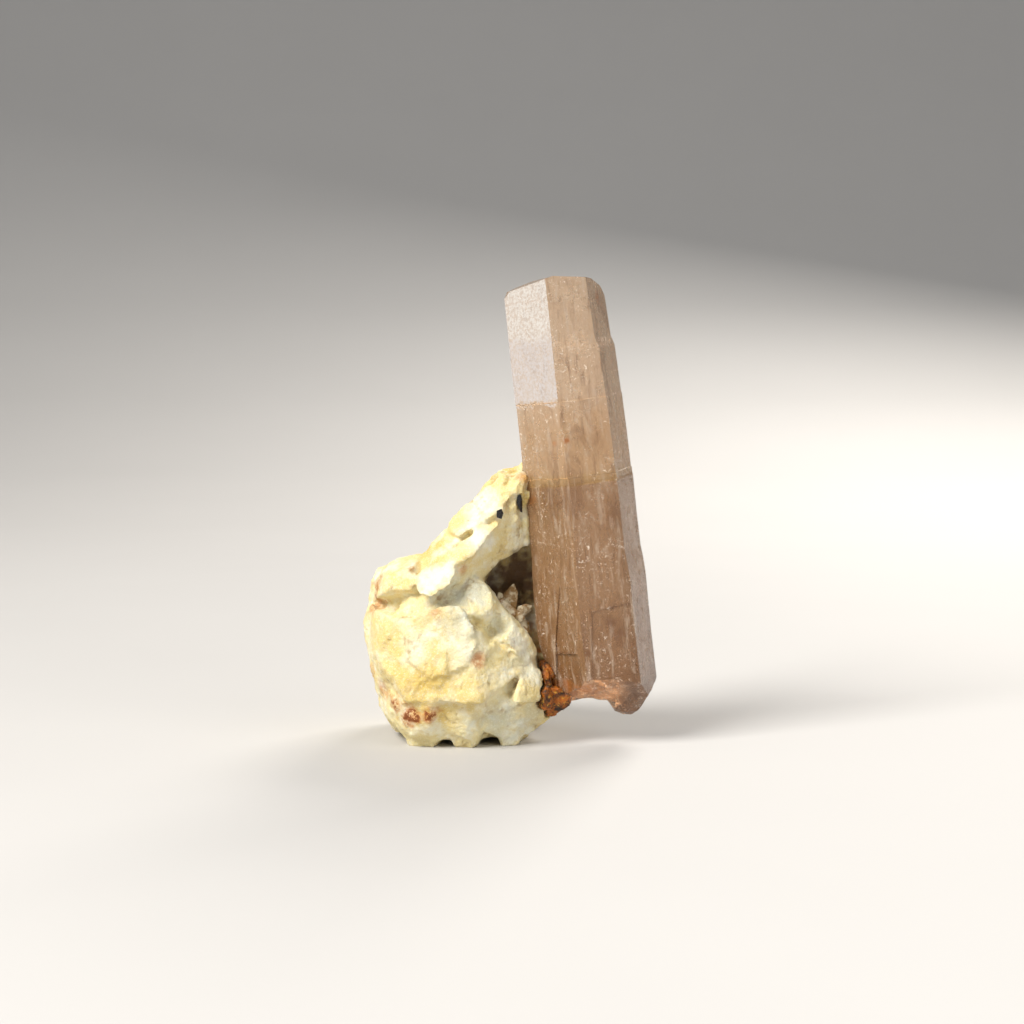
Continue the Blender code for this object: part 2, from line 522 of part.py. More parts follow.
def broken_foot(x, y):
    """The height of the crystal's broken foot at a place: high along the front, with a stub at the right."""
    back_from_front = min(max((y + 6.9) / 3.6, 0.0), 1.0)
    height = 7.25 - 2.75 * back_from_front ** 0.8
    height += 0.10 * max(x - 8.0, 0.0) * (1.0 - back_from_front)
    height += 0.30 * max(y - 0.5, 0.0)
    stub = math.exp(-(((x - 12.5) / 1.75) ** 6) - (((y + 0.8) / 2.6) ** 4))
    height -= 1.75 * stub
    height += 1.3 * max(x - 14.2, 0.0)
    return height + 0.28 * facet_field(Vector((x, y, 3.0)), 1.7, 5.0)


def foot_cutter(grow):
    """A solid whose top is the crystal's broken foot."""
    shape = bmesh.new()
    left, front, step, count = 0.0, -9.5, 0.85, 21
    tops = []
    for row in range(count):
        line = []
        for column in range(count):
            x = left + step * column
            y = front + step * row
            line.append(shape.verts.new((x, y, broken_foot(x, y) - grow)))
        tops.append(line)
    for row in range(count - 1):
        for column in range(count - 1):
            corners = (tops[row][column], tops[row][column + 1], tops[row + 1][column + 1], tops[row + 1][column])
            shape.faces.new(corners)
    rim = [edge for edge in shape.edges if edge.is_boundary]
    skirt = bmesh.ops.extrude_edge_only(shape, edges=rim)["geom"]
    for item in skirt:
        if isinstance(item, bmesh.types.BMVert):
            item.co.z = -FLOOR_DEPTH
    bmesh.ops.holes_fill(shape, edges=[edge for edge in shape.edges if edge.is_boundary])
    return make_object("foot_cutter", shape)


def chip_cutter():
    shape = bmesh.new()
    centre = CHIP_AT + CHIP_FACING.normalized() * (CHIP_RADIUS - CHIP_DEPTH)
    bmesh.ops.create_icosphere(shape, subdivisions=3, radius=CHIP_RADIUS, matrix=Matrix.Translation(centre))
    return make_object("chip_cutter", shape)


def panel_cutter(facing, distance, depth, outline):
    """The shallow hollow of one panel, open to the outside of its face."""
    out = outward(facing)
    along = Vector((-out.y, out.x, 0.0))
    levels = (distance - depth, distance + 2.0)
    shape = bmesh.new()
    add_hull(shape, [out * level + along * side + Vector((0.0, 0.0, height))
                     for side, height in outline for level in levels])
    result = make_object("panel_cutter", shape)
    result.matrix_world = crystal_placing()
    return result


def build_crystal():
    crystal = make_object("apatite_crystal", crystal_prism(0.0))
    crystal.matrix_world = crystal_placing()
    bpy.context.view_layer.update()
    cut(crystal, foot_cutter(0.0))
    cut(crystal, chip_cutter())
    for panel in PANELS:
        cut(crystal, panel_cutter(*panel))
    keep_largest(crystal)
    return crystal


def crystal_clearance():
    """The room that the crystal needs: its outline, one gap larger all round."""
    room = make_object("crystal_room", crystal_prism(GAP))
    room.matrix_world = crystal_placing()
    bpy.context.view_layer.update()
    cut(room, foot_cutter(GAP))
    return room


def ground():
    shape = bmesh.new()
    place = Matrix.Translation((0.0, 0.0, -FLOOR_DEPTH / 2)) @ Matrix.Diagonal((60.0, 60.0, FLOOR_DEPTH, 1.0))
    bmesh.ops.create_cube(shape, size=1.0, matrix=place)
    return make_object("ground_cutter", shape)


def pit_corners(rim, bottom):
    """A pit's cutter keeps the outline of the rim in front of the surface and narrows behind it."""
    return (*rim, *((x, FAR_FRONT, z) for x, y, z in rim), *bottom)


def build_matrix():
    matrix = hull_object("feldspar_matrix", LUMPS)
    hollows = [pit_corners(rim, bottom) for rim, bottom in PITS]
    cut(matrix, hull_object("hollow_cutter", [*hollows, *NOTCHES]), overlapping=True)
    remesh(matrix, 0.25)
    roughen(matrix, ((4.6, 0.34, 2.0), (1.9, 0.12, 7.0)))
    reduce_to(matrix, 6400)
    cut(matrix, ground())
    cut(matrix, crystal_clearance())
    for groups in (SEAM_PATCHES, CRUST_PATCHES):
        room = hull_object("room_cutter", groups, GAP)
        remesh(room, 0.2)
        reduce_to(room, 500)
        cut(matrix, room)
    for corners in (GRAIN_HIGH, GRAIN_LOW):
        cut(matrix, hull_object("grain_room", [corners], GRAIN_GAP))
    keep_largest(matrix)
    return matrix


def build_seam():
    seam = hull_object("limonite_seam", SEAM_PATCHES)
    remesh(seam, 0.2)
    roughen(seam, ((1.1, 0.10, 3.0),))
    reduce_to(seam, 420)
    cut(seam, crystal_clearance())
    keep_largest(seam)
    return seam


def build_crust():
    crust = hull_object("vug_crystals", CRUST_PATCHES)
    remesh(crust, 0.12)
    reduce_to(crust, 420)
    cut(crust, crystal_clearance())
    keep_largest(crust)
    return crust


def centre_on_origin(things):
    """Slide everything so that the middle of the outline is over the origin."""
    corners = [thing.matrix_world @ point.co for thing in things for point in thing.data.vertices]
    middle = [(min(c[axis] for c in corners) + max(c[axis] for c in corners)) / 2 for axis in (0, 1)]
    for thing in things:
        thing.location -= Vector((middle[0], middle[1], 0.0))


def to_metres(thing):
    """Scale a finished shape to metres, keeping where it stands."""
    thing.data.transform(Matrix.Scale(MM, 4))
    thing.location *= MM


def paint(thing, name):
    colour, roughness, clearness = MATERIALS[name]
    material = bpy.data.materials.new(name)
    material.use_nodes = True
    shader = material.node_tree.nodes["Principled BSDF"]
    shader.inputs["Base Color"].default_value = colour
    shader.inputs["Roughness"].default_value = roughness
    shader.inputs["Transmission Weight"].default_value = clearness
    material.diffuse_color = colour
    thing.data.materials.clear()
    thing.data.materials.append(material)


def build():
    clear_scene()
    parts = (
        (build_crystal(), "apatite"),
        (build_matrix(), "feldspar"),
        (build_seam(), "iron_oxide"),
        (build_crust(), "vug_feldspar"),
        (hull_object("schorl_grain_upper", [GRAIN_HIGH]), "schorl"),
        (hull_object("schorl_grain_lower", [GRAIN_LOW]), "schorl"),
    )
    centre_on_origin([thing for thing, material in parts])
    for thing, material in parts:
        to_metres(thing)
        paint(thing, material)


build()
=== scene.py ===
"""The looks of an apatite crystal that has grown against a lump of feldspar.

Lengths are in millimetres where a name or a comment says so, and in metres otherwise. The surfaces are finer
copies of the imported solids. Grain and cleavage steps are raised on the feldspar's mesh, and the crystal's fine
growth lines are in its material.
"""

import math

import bmesh
import bpy
import numpy as np
from mathutils import Matrix, Vector, noise
from mathutils.bvhtree import BVHTree


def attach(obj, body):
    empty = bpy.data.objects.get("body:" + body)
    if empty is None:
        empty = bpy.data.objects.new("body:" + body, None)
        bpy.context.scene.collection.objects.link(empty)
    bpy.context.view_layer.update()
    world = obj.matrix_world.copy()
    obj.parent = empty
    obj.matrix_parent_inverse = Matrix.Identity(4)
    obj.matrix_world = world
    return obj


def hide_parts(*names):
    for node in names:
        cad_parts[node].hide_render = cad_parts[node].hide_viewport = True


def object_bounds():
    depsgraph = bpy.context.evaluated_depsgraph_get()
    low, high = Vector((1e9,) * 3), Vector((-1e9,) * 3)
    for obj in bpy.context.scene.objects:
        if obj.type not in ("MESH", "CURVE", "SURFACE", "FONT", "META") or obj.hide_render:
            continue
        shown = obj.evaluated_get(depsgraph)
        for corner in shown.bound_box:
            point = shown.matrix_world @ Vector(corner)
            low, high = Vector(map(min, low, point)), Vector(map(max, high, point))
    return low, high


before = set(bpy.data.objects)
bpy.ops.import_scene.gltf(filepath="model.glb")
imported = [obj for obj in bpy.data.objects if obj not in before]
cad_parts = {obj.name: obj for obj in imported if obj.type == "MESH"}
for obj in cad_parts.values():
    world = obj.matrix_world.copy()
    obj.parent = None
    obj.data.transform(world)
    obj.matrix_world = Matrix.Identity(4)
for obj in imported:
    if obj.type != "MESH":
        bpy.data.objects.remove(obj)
cad_low, cad_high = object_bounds()

MM = 0.001
PICTURE_SIDE = 1024

# The camera looks along +Y and slightly down, as in the photograph.
LENS_MM = 85.0
SENSOR_MM = 36.0
CAMERA_ELEVATION = math.radians(5.0)
CAMERA_DISTANCE = 258.3 * MM
CAMERA_TARGET = Vector((0.154, -4.146, 24.73)) * MM

# The crystal's own axis, in millimetres, and how far it leans to the left.
AXIS_FOOT = Vector((10.45, -3.15, 0.0))
AXIS_LEAN = math.radians(-6.9)

# The size of the mesh squares of the remeshed pieces and the longest edge of the others, in metres.
MATRIX_GRID = 0.2 * MM
SEAM_GRID = 0.075 * MM
CRYSTAL_EDGE = 0.30 * MM
VUG_EDGE = 0.2 * MM
SCHORL_EDGE = 0.15 * MM

# The pieces were modelled a little apart. Here they close that gap: how near the neighbour has to be, how far
# a point moves towards it and how squarely the surface has to face it.
CLOSE_REACH = 0.75 * MM
CLOSE_PUSH = 0.36 * MM
CLOSE_FACING = 0.3

# How far each seed moves the noise sideways, so that no two fields look alike.
SEED_SHIFT = Vector((1.0, 1.7, 0.6))

# Above this angle, in degrees, an edge stays sharp.
MATRIX_CREASE = 38
SEAM_CREASE = 40
CRYSTAL_CREASE = 12
SMALL_CREASE = 25


def crystal_axis():
    return Matrix.Rotation(AXIS_LEAN, 3, "Y") @ Vector((0.0, 0.0, 1.0))


def camera_place():
    """Where the camera stands."""
    back = Vector((0.0, -math.cos(CAMERA_ELEVATION), math.sin(CAMERA_ELEVATION)))
    return CAMERA_TARGET + back * CAMERA_DISTANCE


def make_camera():
    data = bpy.data.cameras.new("camera")
    data.lens = LENS_MM
    data.sensor_width = SENSOR_MM
    data.clip_start = 0.01
    data.clip_end = 20.0
    camera = bpy.data.objects.new("camera", data)
    camera.location = camera_place()
    camera.rotation_euler = (math.pi / 2 - CAMERA_ELEVATION, 0.0, 0.0)
    bpy.context.scene.collection.objects.link(camera)
    bpy.context.scene.camera = camera


def sight_line(column, row):
    """The direction in which the camera sees a pixel of the picture."""
    half = PICTURE_SIDE / 2
    spread = SENSOR_MM / LENS_MM / 2
    right = Vector((1.0, 0.0, 0.0))
    ahead = (CAMERA_TARGET - camera_place()).normalized()
    up = right.cross(ahead)
    line = ahead + right * ((column - half) / half * spread) + up * ((half - row) / half * spread)
    return line.normalized()


def surface_point(tree, column, row):
    """The point of a surface that the camera sees at a pixel, in metres."""
    hit = tree.ray_cast(camera_place(), sight_line(column, row))
    return hit[0]


def copy_of(node, name):
    """A new object with the node's mesh, free to change."""
    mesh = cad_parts[node].data.copy()
    mesh.name = name
    mesh.materials.clear()
    thing = bpy.data.objects.new(name, mesh)
    bpy.context.scene.collection.objects.link(thing)
    return thing


def apply_modifiers(thing):
    graph = bpy.context.evaluated_depsgraph_get()
    finished = bpy.data.meshes.new_from_object(thing.evaluated_get(graph))
    thing.modifiers.clear()
    thing.data = finished
    finished.name = thing.name


def remesh(thing, size):
    step = thing.modifiers.new("even", "REMESH")
    step.mode = "VOXEL"
    step.voxel_size = size
    step.adaptivity = 0.0
    apply_modifiers(thing)


def points_of(mesh):
    values = np.empty(len(mesh.vertices) * 3, np.float32)
    mesh.vertices.foreach_get("co", values)
    return values.reshape(-1, 3).astype(float)


def normals_of(mesh):
    values = np.empty(len(mesh.vertices) * 3, np.float32)
    mesh.vertices.foreach_get("normal", values)
    return values.reshape(-1, 3).astype(float)


def set_points(mesh, points):
    mesh.vertices.foreach_set("co", points.astype(np.float32).ravel())
    mesh.update()


def store(mesh, name, values):
    """Keep one number a point on the mesh, for its material."""
    layer = mesh.attributes.new(name, "FLOAT", "POINT")
    layer.data.foreach_set("value", np.asarray(values, np.float32))


def field(points_mm, size, seed, octaves=1):
    """Smooth noise at each point, about -1 to 1, with bumps of the given size in millimetres."""
    shift = SEED_SHIFT * seed
    spots = [Vector(point) / size + shift for point in points_mm]
    if octaves == 1:
        return np.array([noise.noise(spot) for spot in spots])
    return np.array([noise.fractal(spot, 1.0, 2.0, octaves) for spot in spots])


def facets(points_mm, size, seed, reach=3):
    """Flat tilted facets that meet in sharp valleys, as cleaved grains do, as heights about zero."""
    shift = SEED_SHIFT * seed
    heights = []
    for point in points_mm:
        spot = Vector(point) / size + shift
        best = -9.0
        for centre in noise.voronoi(spot)[1][:reach]:
            tilt = noise.cell_vector(centre) * 2.0 - Vector((1.0, 1.0, 1.0))
            best = max(best, (spot - centre).dot(tilt) + 0.4 * tilt.x)
        heights.append(best)
    return np.array(heights) - 0.35


def terraces(values, rise):
    """What to add to a smooth slope to turn it into steps with rounded edges."""
    whole = np.floor(values / rise)
    part = values / rise - whole
    return (whole + part ** 4 / (part ** 4 + (1.0 - part) ** 4)) * rise - values


def close_gap(points, normals, tree):
    """How far each point moves out so that the piece meets its neighbour."""
    push = np.zeros(len(points))
    for index, point in enumerate(points):
        found = tree.find_nearest(Vector(point), CLOSE_REACH)
        if found[0] is None:
            continue
        towards = found[0] - Vector(point)
        facing = towards.dot(Vector(normals[index])) / max(towards.length, 1e-9)
        if facing > CLOSE_FACING:
            push[index] = CLOSE_PUSH * min(1.0, 2.0 * (1.0 - found[3] / CLOSE_REACH))
    return push


def keep_in_box(points):
    """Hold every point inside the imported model's box."""
    low = np.array(cad_low) + 1e-6
    high = np.array(cad_high) - 1e-6
    return np.clip(points, low, high)


def smooth_with_creases(thing, angle):
    thing.data.shade_smooth()
    thing.data.set_sharp_from_angle(angle=math.radians(angle))


def settle(thing, node, material):
    """Finish a piece: give it its material and the body it rides on, and hide the imported solid it stands for.
    """
    thing.data.materials.clear()
    thing.data.materials.append(material)
    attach(thing, "root")
    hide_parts(node)


class Paint:
    """The nodes of one material, with coordinates in millimetres."""

    def __init__(self, name):
        self.material = bpy.data.materials.new(name)
        self.material.use_nodes = True
        self.tree = self.material.node_tree
        self.shader = self.tree.nodes["Principled BSDF"]
        place = self.add("ShaderNodeTexCoord")
        scaled = self.add("ShaderNodeVectorMath")
        scaled.operation = "SCALE"
        self.tree.links.new(place.outputs["Object"], scaled.inputs[0])
        scaled.inputs["Scale"].default_value = 1.0 / MM
        self.place = scaled.outputs[0]

    def add(self, kind):
        return self.tree.nodes.new(kind)

    def feed(self, socket, value):
        if isinstance(value, bpy.types.NodeSocket):
            self.tree.links.new(value, socket)
        else:
            socket.default_value = value

    def set(self, name, value):
        self.feed(self.shader.inputs[name], value)

    def stretched(self, scale, turn=(0.0, 0.0, 0.0)):
        """The coordinates turned and then scaled, for streaks."""
        mapping = self.add("ShaderNodeMapping")
        self.tree.links.new(self.place, mapping.inputs["Vector"])
        mapping.vector_type = "TEXTURE"
        mapping.inputs["Rotation"].default_value = turn
        mapping.inputs["Scale"].default_value = scale
        return mapping.outputs[0]

    def noise(self, size, detail=4.0, rough=0.55, warp=0.0, place=None):
        texture = self.add("ShaderNodeTexNoise")
        self.feed(texture.inputs["Vector"], place or self.place)
        texture.inputs["Scale"].default_value = 1.0 / size
        texture.inputs["Detail"].default_value = detail
        texture.inputs["Roughness"].default_value = rough
        texture.inputs["Distortion"].default_value = warp
        return texture.outputs["Fac"]

    def cells(self, size, feature="F1", output="Distance", place=None):
        texture = self.add("ShaderNodeTexVoronoi")
        texture.feature = feature
        self.feed(texture.inputs["Vector"], place or self.place)
        texture.inputs["Scale"].default_value = 1.0 / size
        return texture.outputs[output]

    def along(self, direction, start):
        """Millimetres along a direction from a starting point."""
        step = self.add("ShaderNodeVectorMath")
        step.operation = "DOT_PRODUCT"
        self.tree.links.new(self.place, step.inputs[0])
        step.inputs[1].default_value = direction
        return self.maths("SUBTRACT", step.outputs["Value"], direction.dot(start))

    def facing(self, direction):
        """How squarely the surface looks in a direction, 1 at most."""
        surface = self.add("ShaderNodeNewGeometry")
        step = self.add("ShaderNodeVectorMath")
        step.operation = "DOT_PRODUCT"
        self.tree.links.new(surface.outputs["Normal"], step.inputs[0])
        step.inputs[1].default_value = direction
        return step.outputs["Value"]

    def stored(self, name):
        attribute = self.add("ShaderNodeAttribute")
        attribute.attribute_name = name
        return attribute.outputs["Fac"]

    def band(self, value, low, high, start=0.0, end=1.0):
        """Ramp smoothly from start to end as the value goes from low to high."""
        ramp = self.add("ShaderNodeMapRange")
        ramp.interpolation_type = "SMOOTHSTEP"
        self.feed(ramp.inputs["Value"], value)
        ramp.inputs["From Min"].default_value = low
        ramp.inputs["From Max"].default_value = high
        ramp.inputs["To Min"].default_value = start
        ramp.inputs["To Max"].default_value = end
        return ramp.outputs["Result"]

    def maths(self, operation, first, second=0.0):
        step = self.add("ShaderNodeMath")
        step.operation = operation
        self.feed(step.inputs[0], first)
        self.feed(step.inputs[1], second)
        return step.outputs[0]

    def mix(self, share, first, second):
        step = self.add("ShaderNodeMix")
        step.data_type = "RGBA"
        self.feed(step.inputs["Factor"], share)
        self.feed(step.inputs["A"], first)
        self.feed(step.inputs["B"], second)
        return step.outputs["Result"]

    def bump(self, height, strength, depth_mm):
        step = self.add("ShaderNodeBump")
        self.feed(step.inputs["Height"], height)
        step.inputs["Strength"].default_value = strength
        step.inputs["Distance"].default_value = depth_mm * MM
        self.set("Normal", step.outputs["Normal"])


def linear(red, green, blue):
    """A colour given as screen values from 0 to 255."""
    def lift(value):
        value /= 255.0
        return value / 12.92 if value <= 0.04045 else ((value + 0.055) / 1.055) ** 2.4
    return (lift(red), lift(green), lift(blue), 1.0)


CREAM = linear(230, 214, 158)
PALE = linear(240, 238, 218)
YELLOW = linear(222, 188, 92)
BLUE_GREY = linear(190, 196, 186)
RUST = linear(186, 104, 24)
DARK_RUST = linear(112, 54, 14)
# Painted shade for the hollows of the grain.
CAVITY_SHADE = linear(150, 112, 52)
# The hollow beside the crystal: partly its iron stain, partly painted shade.
HOLLOW_STAIN_AND_SHADE = linear(82, 44, 14)


FELDSPAR_IOR = 1.52

# How much light goes into the feldspar and how far it gets, in metres for red, green and blue.
FELDSPAR_GLOW = 0.12
FELDSPAR_REACH = (0.0012, 0.0009, 0.0005)


def feldspar_paint(name):
    paint = Paint(name)
    colour = paint.mix(paint.band(paint.noise(5.5, 3.0), 0.44, 0.70, 0.0, 0.6), CREAM, YELLOW)
    colour = paint.mix(paint.band(paint.noise(2.2, 6.0, 0.65), 0.44, 0.66, 0.0, 0.8), colour, PALE)
    # Blue-grey patches: partly the feldspar's own tone, partly painted shade in the saddle, the pit and under
    # the ledge.
    colour = paint.mix(paint.stored("cool_tone_and_shade"), colour, BLUE_GREY)
    colour = paint.mix(paint.stored("warm"), colour, YELLOW)
    # Pale patches: partly the feldspar's own tone, partly painted highlight on ridges and faces turned to the
    # key lamp.
    colour = paint.mix(paint.stored("pale_tone_and_highlight"), colour, PALE)
    grain = paint.noise(0.16, 2.0, 0.6)
    colour = paint.mix(paint.band(grain, 0.52, 0.70, 0.0, 0.45), colour, PALE)
    # Painted shade: the grain's hollows are darkened.
    colour = paint.mix(paint.band(paint.stored("cavity_shade"), 0.15, 1.0, 0.0, 0.75), colour, CAVITY_SHADE)
    rust = paint.maths("MULTIPLY", paint.stored("rust"), paint.band(paint.noise(0.7, 4.0, 0.7), 0.3, 0.55))
    colour = paint.mix(rust, colour, RUST)
    colour = paint.mix(paint.band(rust, 0.62, 1.0, 0.0, 0.8), colour, DARK_RUST)
    # The hollow beside the crystal darkened: partly iron stain, partly painted shade.
    colour = paint.mix(paint.stored("hollow_stain_and_shade"), colour, HOLLOW_STAIN_AND_SHADE)
    paint.set("Base Color", colour)
    paint.set("Roughness", paint.band(paint.noise(0.5, 3.0), 0.3, 0.7, 0.42, 0.72))
    paint.shader.inputs["IOR"].default_value = FELDSPAR_IOR
    paint.shader.inputs["Subsurface Weight"].default_value = FELDSPAR_GLOW
    paint.shader.inputs["Subsurface Radius"].default_value = FELDSPAR_REACH
    paint.shader.inputs["Subsurface Scale"].default_value = 1.0
    height = paint.maths("ADD", paint.noise(0.22, 4.0, 0.7), paint.maths("MULTIPLY", paint.cells(0.3), 0.6))
    paint.bump(height, 0.55, 0.16)
    return paint.material


def crystal_direction(angle):
    """The way a side face of the leaning crystal looks, from its angle off the front."""
    turn = math.radians(angle)
    return Matrix.Rotation(AXIS_LEAN, 3, "Y") @ Vector((math.sin(turn), -math.cos(turn), 0.0))


# The heights of the crystal's growth steps along its axis, in millimetres: the pale band between two steps,
# and the whitish left face above the third, partly frosted and partly a painted reflection of the key lamp.
BAND_FOOT = 28.0
BAND_TOP = 29.6
FROST_REFLECTION_FOOT = 36.7

# The left face looks this many degrees off the front.
LEFT_FACE = 313.0

# What light does inside the crystal; the density is for a metre.
APATITE_IOR = 1.63
APATITE_TINT = (0.88, 0.62, 0.40, 1.0)
APATITE_DENSITY = 45.0

FOOT_BROWN = linear(150, 106, 64)
LOWER_TAN = linear(172, 134, 96)
MIDDLE_PEACH = linear(208, 172, 130)
TOP_PEACH = linear(222, 194, 162)
BAND_TAN = linear(196, 160, 96)
STREAK_LIGHT = linear(232, 214, 192)
STREAK_DARK = linear(112, 74, 46)
CLOUD_BROWN = linear(120, 76, 42)
FLECK_WHITE = linear(246, 236, 222)
# The upper left face: partly frosted, partly a painted reflection of the key lamp.
FROST_REFLECTION_LOW = linear(206, 203, 206)
FROST_REFLECTION_HIGH = linear(232, 232, 226)
FROST_REFLECTION_DARK = linear(176, 168, 164)
IRON_BROWN = linear(150, 84, 22)
IRON_DARK = linear(84, 42, 12)


def apatite_base(paint, height):
    """The crystal's colour by height: brown at the foot, peach above the growth steps."""
    uneven = paint.maths("ADD", height, paint.band(paint.noise(2.6, 3.0, 0.6), 0.3, 0.7, -0.8, 0.8))
    colour = paint.mix(paint.band(uneven, 5.0, 20.0), FOOT_BROWN, LOWER_TAN)
    colour = paint.mix(paint.band(height, BAND_FOOT + 0.3, BAND_FOOT + 1.0), colour, MIDDLE_PEACH)
    colour = paint.mix(paint.band(uneven, 33.0, 38.5), colour, TOP_PEACH)
    in_band = paint.maths("MULTIPLY", paint.band(height, BAND_FOOT, BAND_FOOT + 0.3),
                          paint.band(height, BAND_TOP, BAND_TOP - 0.7))
    return paint.mix(paint.maths("MULTIPLY", in_band, 0.5), colour, BAND_TAN)


def apatite_inside(paint, colour, lean):
    """Streaks, clouds and white flecks in the crystal: the colour with them and where the flecks are."""
    streak = paint.noise(0.7, 6.0, 0.7, 0.5, paint.stretched((1.0, 1.0, 6.0), lean))
    cloud = paint.noise(3.0, 5.0, 0.65, 0.8, paint.stretched((1.0, 1.0, 2.4), lean))
    colour = paint.mix(paint.band(streak, 0.50, 0.66, 0.0, 0.55), colour, STREAK_LIGHT)
    colour = paint.mix(paint.band(streak, 0.47, 0.32, 0.0, 0.5), colour, STREAK_DARK)
    colour = paint.mix(paint.band(cloud, 0.46, 0.36, 0.0, 0.35), colour, CLOUD_BROWN)
    chips = paint.noise(0.42, 7.0, 0.85, 0.8)
    fleck = paint.maths("MULTIPLY", paint.band(chips, 0.565, 0.615), paint.band(cloud, 0.42, 0.56))
    return paint.mix(paint.maths("MULTIPLY", fleck, 0.85), colour, FLECK_WHITE), fleck


def apatite_frost_and_reflection(paint, colour, height):
    """The whitish upper part of the left face, partly frosted and partly a painted reflection of the key lamp:
    the colour with it and how strong it is.
    """
    left = paint.band(paint.facing(crystal_direction(LEFT_FACE)), 0.93, 0.97)
    ragged = paint.maths("ADD", height, paint.band(paint.noise(0.8, 5.0, 0.7), 0.3, 0.7, -0.5, 0.5))
    frost_and_reflection = paint.maths("MULTIPLY", left, paint.band(ragged, FROST_REFLECTION_FOOT, FROST_REFLECTION_FOOT + 0.5))
    grain = paint.band(paint.noise(0.3, 4.0, 0.8), 0.38, 0.6)
    frosted_and_reflecting = paint.mix(paint.band(ragged, FROST_REFLECTION_FOOT + 6.5, FROST_REFLECTION_FOOT + 7.7), FROST_REFLECTION_LOW, FROST_REFLECTION_HIGH)
    frosted_and_reflecting = paint.mix(paint.maths("MULTIPLY", grain, 0.45), FROST_REFLECTION_DARK, frosted_and_reflecting)
    frost_and_reflection = paint.maths("MULTIPLY", frost_and_reflection, paint.band(grain, 0.0, 1.0, 0.72, 0.96))
    return paint.mix(frost_and_reflection, colour, frosted_and_reflecting), frost_and_reflection


def apatite_relief(paint, lean):
    """Fine growth lines along the crystal and small pits."""
    lines = paint.noise(0.5, 4.0, 0.7, 0.0, paint.stretched((0.16, 0.16, 9.0), lean))
    pits = paint.noise(0.3, 4.0, 0.7)
    paint.bump(paint.maths("ADD", lines, paint.maths("MULTIPLY", pits, 0.8)), 0.5, 0.06)


def apatite_paint():
    paint = Paint("apatite")
    height = paint.along(crystal_axis(), AXIS_FOOT)
    lean = (0.0, AXIS_LEAN, 0.0)
    colour, fleck = apatite_inside(paint, apatite_base(paint, height), lean)
    # Frost with a painted reflection on the upper left face.
    colour, frost_and_reflection = apatite_frost_and_reflection(paint, colour, height)
    iron = paint.stored("iron")
    dark = paint.stored("dark_iron")
    colour = paint.mix(iron, colour, IRON_BROWN)
    paint.set("Base Color", paint.mix(dark, colour, IRON_DARK))
    cover = paint.maths("MAXIMUM", frost_and_reflection, paint.maths("MULTIPLY", fleck, 0.9))
    cover = paint.maths("MAXIMUM", cover, paint.maths("MAXIMUM", iron, dark))
    paint.set("Transmission Weight", paint.band(cover, 0.0, 1.0, 0.55, 0.05))
    paint.set("Roughness", paint.band(paint.noise(1.3, 5.0, 0.7), 0.35, 0.7, 0.10, 0.32))
    paint.shader.inputs["IOR"].default_value = APATITE_IOR
    apatite_relief(paint, lean)
    absorb = paint.add("ShaderNodeVolumeAbsorption")
    absorb.inputs["Color"].default_value = APATITE_TINT
    absorb.inputs["Density"].default_value = APATITE_DENSITY
    paint.tree.links.new(absorb.outputs[0], paint.tree.nodes["Material Output"].inputs["Volume"])
    return paint.material


LIMONITE_DARK = linear(44, 24, 8)
LIMONITE_ORANGE = linear(176, 96, 14)
LIMONITE_YELLOW = linear(222, 166, 60)
VUG_BROWN = linear(150, 116, 70)
VUG_PALE = linear(222, 210, 180)
SCHORL_BLACK = (0.004, 0.004, 0.005, 1.0)
SCHORL_GREY = (0.02, 0.018, 0.016, 1.0)


def limonite_paint():
    paint = Paint("iron_oxide")
    colour = paint.mix(paint.band(paint.noise(1.1, 5.0, 0.7), 0.38, 0.62), LIMONITE_DARK, LIMONITE_ORANGE)
    colour = paint.mix(paint.band(paint.noise(0.4, 5.0, 0.7), 0.55, 0.68), colour, LIMONITE_YELLOW)
    paint.set("Base Color", colour)
    paint.set("Roughness", paint.band(paint.noise(0.6, 3.0), 0.3, 0.7, 0.25, 0.7))
    paint.bump(paint.noise(0.2, 4.0, 0.7), 0.6, 0.12)
    return paint.material


def vug_paint():
    paint = Paint("vug_feldspar")
    paint.set("Base Color", paint.mix(paint.band(paint.noise(0.8, 4.0), 0.4, 0.6), VUG_BROWN, VUG_PALE))
    paint.set("Roughness", paint.band(paint.noise(0.5, 3.0), 0.3, 0.7, 0.2, 0.5))
    paint.bump(paint.noise(0.15, 3.0, 0.6), 0.4, 0.06)
    return paint.material


def schorl_paint():
    paint = Paint("schorl")
    paint.set("Base Color", paint.mix(paint.noise(0.3, 3.0), SCHORL_BLACK, SCHORL_GREY))
    paint.set("Roughness", paint.band(paint.noise(0.2, 3.0), 0.3, 0.7, 0.15, 0.45))
    paint.bump(paint.noise(0.12, 3.0, 0.6), 0.5, 0.06)
    return paint.material


